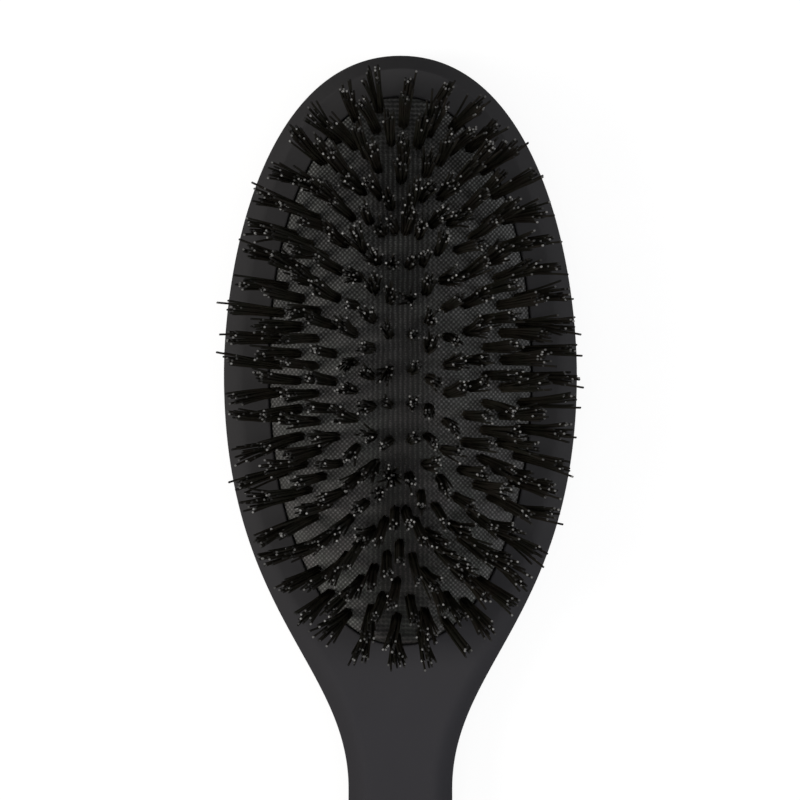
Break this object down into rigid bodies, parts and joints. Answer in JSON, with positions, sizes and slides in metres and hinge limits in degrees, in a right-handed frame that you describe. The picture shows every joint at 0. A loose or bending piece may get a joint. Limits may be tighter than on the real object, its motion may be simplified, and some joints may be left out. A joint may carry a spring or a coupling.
{
  "type": "oval dressing brush",
  "caption": "Oval dressing brush: soft-touch body of two shells, a sprung air cushion under a woven black facing, and concentric rows of outward-leaning bristle tufts.",
  "frame": {"origin": "on the flat of the back, under the widest row of the head", "axes": "+Z from the back to the bristle side, +Y to the tip of the head, -Y down the handle, +X to the right seen from the bristle side"},
  "size_m": [0.0668, 0.24, 0.0388],
  "materials": {
    "body": "soft-touch matte charcoal",
    "inner_plastic": "moulded black, as it comes from the tool",
    "pad_rubber": "moulded black rubber",
    "screw": "plated steel",
    "bristle": "near-black brown filament with ground tips",
    "facing_fabric": "glossy black plain weave"
  },
  "bodies": {
    "body": {"back_shell": "body", "front_shell": "body", "pad_retaining_ring": "inner_plastic", "ring_screw_1": "screw", "ring_screw_2": "screw", "ring_screw_3": "screw", "ring_screw_4": "screw", "ring_screw_5": "screw", "ring_screw_6": "screw", "ring_screw_7": "screw", "ring_screw_8": "screw", "rubber_pad": "pad_rubber"},
    "cushion_row_1": {"tufts_row_1_neck_left": "bristle", "tufts_row_1_neck_right": "bristle", "tufts_row_1_tip_left": "bristle", "tufts_row_1_tip_right": "bristle"},
    "cushion_row_2": {"tufts_row_2_neck_left": "bristle", "tufts_row_2_neck_right": "bristle", "tufts_row_2_tip_left": "bristle", "tufts_row_2_tip_right": "bristle"},
    "cushion_row_3": {"tufts_row_3_neck_left": "bristle", "tufts_row_3_neck_right": "bristle", "tufts_row_3_tip_left": "bristle", "tufts_row_3_tip_right": "bristle"},
    "cushion_row_4": {"tufts_row_4_neck_left": "bristle", "tufts_row_4_neck_right": "bristle", "tufts_row_4_tip_left": "bristle", "tufts_row_4_tip_right": "bristle"},
    "cushion_row_5": {"tufts_row_5_left": "bristle", "tufts_row_5_right": "bristle"},
    "cushion_row_6": {"tufts_row_6_left": "bristle", "tufts_row_6_right": "bristle"},
    "cushion_middle": {"tufts_middle": "bristle"}
  },
  "joints": [
    {"name": "cushion_press", "type": "slide", "parent": "body", "child": "cushion_middle", "axis": [0, 0, -1], "range_m": [0, 0.004], "stiffness_N_per_m": 1200, "springref_m": -0.0008, "deforming": ["rubber_pad"]},
    {"name": "cushion_press_row_6", "type": "slide", "parent": "body", "child": "cushion_row_6", "axis": [0, 0, -1], "range_m": [0, 0.00384]},
    {"name": "cushion_press_row_5", "type": "slide", "parent": "body", "child": "cushion_row_5", "axis": [0, 0, -1], "range_m": [0, 0.00355]},
    {"name": "cushion_press_row_4", "type": "slide", "parent": "body", "child": "cushion_row_4", "axis": [0, 0, -1], "range_m": [0, 0.00306]},
    {"name": "cushion_press_row_3", "type": "slide", "parent": "body", "child": "cushion_row_3", "axis": [0, 0, -1], "range_m": [0, 0.00244]},
    {"name": "cushion_press_row_2", "type": "slide", "parent": "body", "child": "cushion_row_2", "axis": [0, 0, -1], "range_m": [0, 0.0017]},
    {"name": "cushion_press_row_1", "type": "slide", "parent": "body", "child": "cushion_row_1", "axis": [0, 0, -1], "range_m": [0, 0.0007]}
  ],
  "couplings": [
    {"joint": "cushion_press_row_6", "follows": "cushion_press", "ratio": 0.9567},
    {"joint": "cushion_press_row_5", "follows": "cushion_press", "ratio": 0.884},
    {"joint": "cushion_press_row_4", "follows": "cushion_press", "ratio": 0.7621},
    {"joint": "cushion_press_row_3", "follows": "cushion_press", "ratio": 0.6064},
    {"joint": "cushion_press_row_2", "follows": "cushion_press", "ratio": 0.4219},
    {"joint": "cushion_press_row_1", "follows": "cushion_press", "ratio": 0.1735}
  ]
}
